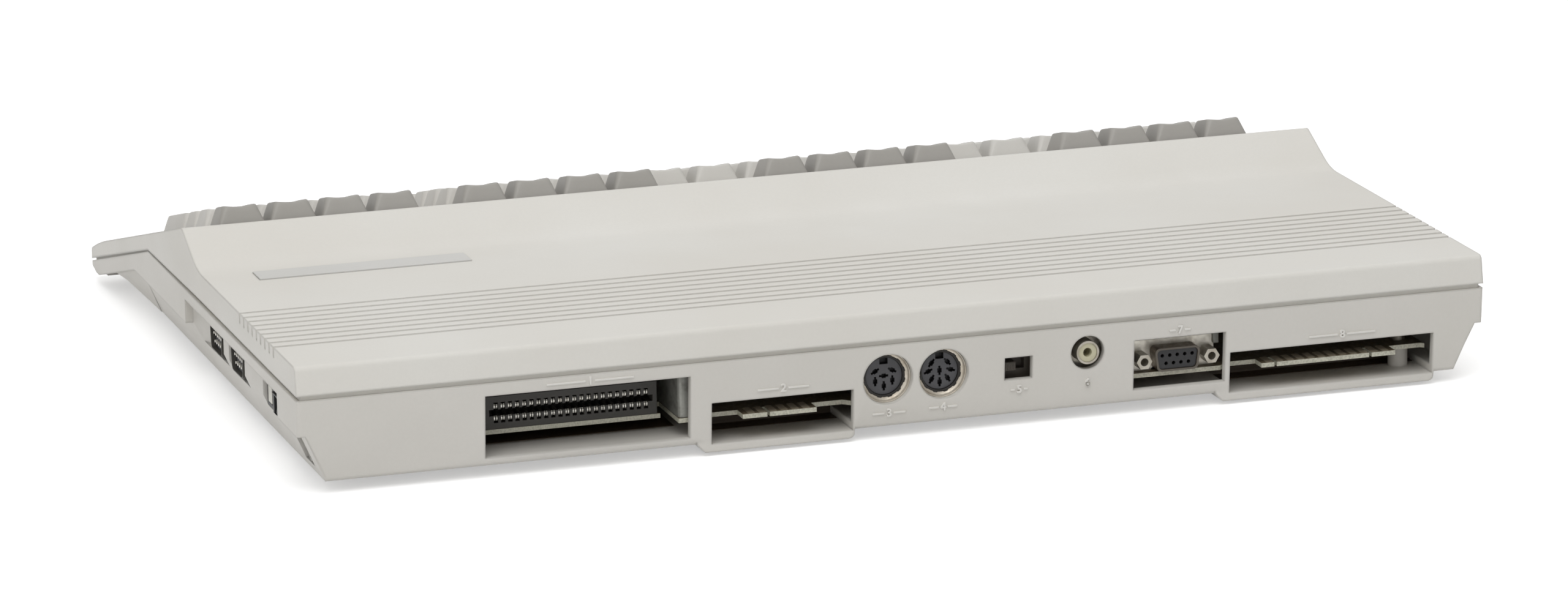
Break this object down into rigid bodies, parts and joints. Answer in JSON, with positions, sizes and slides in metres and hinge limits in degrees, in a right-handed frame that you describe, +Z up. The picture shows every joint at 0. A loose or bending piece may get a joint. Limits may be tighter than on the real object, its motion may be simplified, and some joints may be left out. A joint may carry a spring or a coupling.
{
  "type": "vintage home computer",
  "caption": "Flat beige home computer with a built-in keyboard and keypad, a grooved level deck behind a ridge, and sockets along the back and one side.",
  "frame": {"origin": "middle of the computer's bounding box, on the table plane under the feet", "axes": "+Z up, +Y to the back where the rear sockets are, +X to the right of someone at the keys"},
  "size_m": [0.43, 0.33, 0.0611],
  "materials": {
    "case_upper": "fine-grained moulded plastic, warm pale grey",
    "case_lower": "fine-grained moulded plastic, slightly darker",
    "key_light": "satin moulded plastic",
    "key_dark": "satin moulded plastic, grey-brown",
    "badge": "plain satin plate",
    "lamp": "red lens",
    "rubber": "matt",
    "dark_plastic": "satin moulded plastic",
    "grey_plastic": "satin moulded plastic",
    "pale_plastic": "satin moulded plastic",
    "rocker": "satin",
    "chip": "matt",
    "capacitor": "sleeve",
    "board": "lacquered laminate",
    "tin": "tinned sheet, dull",
    "screws": "plated"
  },
  "bodies": {
    "housing": {"upper_case": "case_upper", "lower_case": "case_lower", "case_screws": "screws", "rubber_feet": "rubber", "badge_plate": "badge", "power_lamp": "lamp", "keyboard_frame": "dark_plastic", "keyboard_board": "board", "keyboard_screws": "screws", "main_board": "board", "board_chips": "chip", "board_capacitors": "capacitor", "board_screws": "screws", "shield_cover": "tin", "expansion_socket": "dark_plastic", "serial_socket": "grey_plastic", "serial_ring": "tin", "video_socket": "grey_plastic", "video_ring": "tin", "channel_switch": "dark_plastic", "modulator_can": "tin", "aerial_jack": "tin", "aerial_core": "pale_plastic", "monitor_shell": "tin", "monitor_insert": "grey_plastic", "jack_screws": "screws", "joystick_shells": "dark_plastic", "joystick_inserts": "dark_plastic", "joystick_pins": "screws", "reset_switch": "dark_plastic", "power_switch": "dark_plastic", "power_socket": "dark_plastic"},
    "escape_key": {"escape_key": "key_dark"},
    "tab_key": {"tab_key": "key_dark"},
    "alt_key": {"alt_key": "key_dark"},
    "caps_lock_key": {"caps_lock_key": "key_dark"},
    "help_key": {"help_key": "key_dark"},
    "line_feed_key": {"line_feed_key": "key_dark"},
    "display_key": {"display_key": "key_dark"},
    "no_scroll_key": {"no_scroll_key": "key_dark"},
    "cursor_up_key": {"cursor_up_key": "key_dark"},
    "cursor_down_key": {"cursor_down_key": "key_dark"},
    "cursor_left_key": {"cursor_left_key": "key_dark"},
    "cursor_right_key": {"cursor_right_key": "key_dark"},
    "f1_key": {"f1_key": "key_dark"},
    "f3_key": {"f3_key": "key_dark"},
    "f5_key": {"f5_key": "key_dark"},
    "f7_key": {"f7_key": "key_dark"},
    "number_row_keys": {"number_row_keys": "key_light"},
    "upper_letter_keys": {"upper_letter_keys": "key_light"},
    "home_letter_keys": {"home_letter_keys": "key_light"},
    "lower_letter_keys": {"lower_letter_keys": "key_light"},
    "space_bar": {"space_bar": "key_light"},
    "shift_lock_key": {"shift_lock_key": "key_light"},
    "return_key": {"return_key": "key_light"},
    "keypad_keys": {"keypad_keys": "key_light"},
    "enter_key": {"enter_key": "key_light"},
    "channel_slider": {"channel_slider": "grey_plastic"},
    "reset_button": {"reset_button": "pale_plastic"},
    "power_rocker": {"power_rocker": "rocker"}
  },
  "joints": [
    {"name": "escape_key_press", "type": "slide", "parent": "housing", "child": "escape_key", "axis": [0, 0.2538, -0.9673], "range_m": [0, 0.0038], "stiffness_N_per_m": 150, "springref_m": -0.003},
    {"name": "tab_key_press", "type": "slide", "parent": "housing", "child": "tab_key", "axis": [0, 0.2538, -0.9673], "range_m": [0, 0.0038], "stiffness_N_per_m": 150, "springref_m": -0.003},
    {"name": "alt_key_press", "type": "slide", "parent": "housing", "child": "alt_key", "axis": [0, 0.2538, -0.9673], "range_m": [0, 0.0038], "stiffness_N_per_m": 150, "springref_m": -0.003},
    {"name": "caps_lock_key_press", "type": "slide", "parent": "housing", "child": "caps_lock_key", "axis": [0, 0.2538, -0.9673], "range_m": [0, 0.0038], "stiffness_N_per_m": 150, "springref_m": -0.003},
    {"name": "help_key_press", "type": "slide", "parent": "housing", "child": "help_key", "axis": [0, 0.2538, -0.9673], "range_m": [0, 0.0038], "stiffness_N_per_m": 150, "springref_m": -0.003},
    {"name": "line_feed_key_press", "type": "slide", "parent": "housing", "child": "line_feed_key", "axis": [0, 0.2538, -0.9673], "range_m": [0, 0.0038], "stiffness_N_per_m": 150, "springref_m": -0.003},
    {"name": "display_key_press", "type": "slide", "parent": "housing", "child": "display_key", "axis": [0, 0.2538, -0.9673], "range_m": [0, 0.0038], "stiffness_N_per_m": 150, "springref_m": -0.003},
    {"name": "no_scroll_key_press", "type": "slide", "parent": "housing", "child": "no_scroll_key", "axis": [0, 0.2538, -0.9673], "range_m": [0, 0.0038], "stiffness_N_per_m": 150, "springref_m": -0.003},
    {"name": "cursor_up_key_press", "type": "slide", "parent": "housing", "child": "cursor_up_key", "axis": [0, 0.2538, -0.9673], "range_m": [0, 0.0038], "stiffness_N_per_m": 150, "springref_m": -0.003},
    {"name": "cursor_down_key_press", "type": "slide", "parent": "housing", "child": "cursor_down_key", "axis": [0, 0.2538, -0.9673], "range_m": [0, 0.0038], "stiffness_N_per_m": 150, "springref_m": -0.003},
    {"name": "cursor_left_key_press", "type": "slide", "parent": "housing", "child": "cursor_left_key", "axis": [0, 0.2538, -0.9673], "range_m": [0, 0.0038], "stiffness_N_per_m": 150, "springref_m": -0.003},
    {"name": "cursor_right_key_press", "type": "slide", "parent": "housing", "child": "cursor_right_key", "axis": [0, 0.2538, -0.9673], "range_m": [0, 0.0038], "stiffness_N_per_m": 150, "springref_m": -0.003},
    {"name": "f1_key_press", "type": "slide", "parent": "housing", "child": "f1_key", "axis": [0, 0.2538, -0.9673], "range_m": [0, 0.0038], "stiffness_N_per_m": 150, "springref_m": -0.003},
    {"name": "f3_key_press", "type": "slide", "parent": "housing", "child": "f3_key", "axis": [0, 0.2538, -0.9673], "range_m": [0, 0.0038], "stiffness_N_per_m": 150, "springref_m": -0.003},
    {"name": "f5_key_press", "type": "slide", "parent": "housing", "child": "f5_key", "axis": [0, 0.2538, -0.9673], "range_m": [0, 0.0038], "stiffness_N_per_m": 150, "springref_m": -0.003},
    {"name": "f7_key_press", "type": "slide", "parent": "housing", "child": "f7_key", "axis": [0, 0.2538, -0.9673], "range_m": [0, 0.0038], "stiffness_N_per_m": 150, "springref_m": -0.003},
    {"name": "number_row_keys_press", "type": "slide", "parent": "housing", "child": "number_row_keys", "axis": [0, 0.2538, -0.9673], "range_m": [0, 0.0038], "stiffness_N_per_m": 2400, "springref_m": -0.003},
    {"name": "upper_letter_keys_press", "type": "slide", "parent": "housing", "child": "upper_letter_keys", "axis": [0, 0.2538, -0.9673], "range_m": [0, 0.0038], "stiffness_N_per_m": 2250, "springref_m": -0.003},
    {"name": "home_letter_keys_press", "type": "slide", "parent": "housing", "child": "home_letter_keys", "axis": [0, 0.2538, -0.9673], "range_m": [0, 0.0038], "stiffness_N_per_m": 1800, "springref_m": -0.003},
    {"name": "lower_letter_keys_press", "type": "slide", "parent": "housing", "child": "lower_letter_keys", "axis": [0, 0.2538, -0.9673], "range_m": [0, 0.0038], "stiffness_N_per_m": 2100, "springref_m": -0.003},
    {"name": "space_bar_press", "type": "slide", "parent": "housing", "child": "space_bar", "axis": [0, 0.2538, -0.9673], "range_m": [0, 0.0038], "stiffness_N_per_m": 150, "springref_m": -0.003},
    {"name": "shift_lock_key_press", "type": "slide", "parent": "housing", "child": "shift_lock_key", "axis": [0, 0.2538, -0.9673], "range_m": [0, 0.0038], "stiffness_N_per_m": 150, "springref_m": -0.003},
    {"name": "return_key_press", "type": "slide", "parent": "housing", "child": "return_key", "axis": [0, 0.2538, -0.9673], "range_m": [0, 0.0038], "stiffness_N_per_m": 150, "springref_m": -0.003},
    {"name": "keypad_keys_press", "type": "slide", "parent": "housing", "child": "keypad_keys", "axis": [0, 0.2538, -0.9673], "range_m": [0, 0.0038], "stiffness_N_per_m": 1950, "springref_m": -0.003},
    {"name": "enter_key_press", "type": "slide", "parent": "housing", "child": "enter_key", "axis": [0, 0.2538, -0.9673], "range_m": [0, 0.0038], "stiffness_N_per_m": 150, "springref_m": -0.003},
    {"name": "channel_slide", "type": "slide", "parent": "housing", "child": "channel_slider", "axis": [-1, 0, 0], "range_m": [0, 0.004]},
    {"name": "reset_press", "type": "slide", "parent": "housing", "child": "reset_button", "axis": [-1, 0, 0], "range_m": [0, 0.0015], "stiffness_N_per_m": 400, "springref_m": -0.001},
    {"name": "power_rock", "type": "hinge", "parent": "housing", "child": "power_rocker", "pos_m": [0.2072, 0.1226, 0.0225], "axis": [0, 1, 0], "range_deg": [-18, 0]}
  ]
}
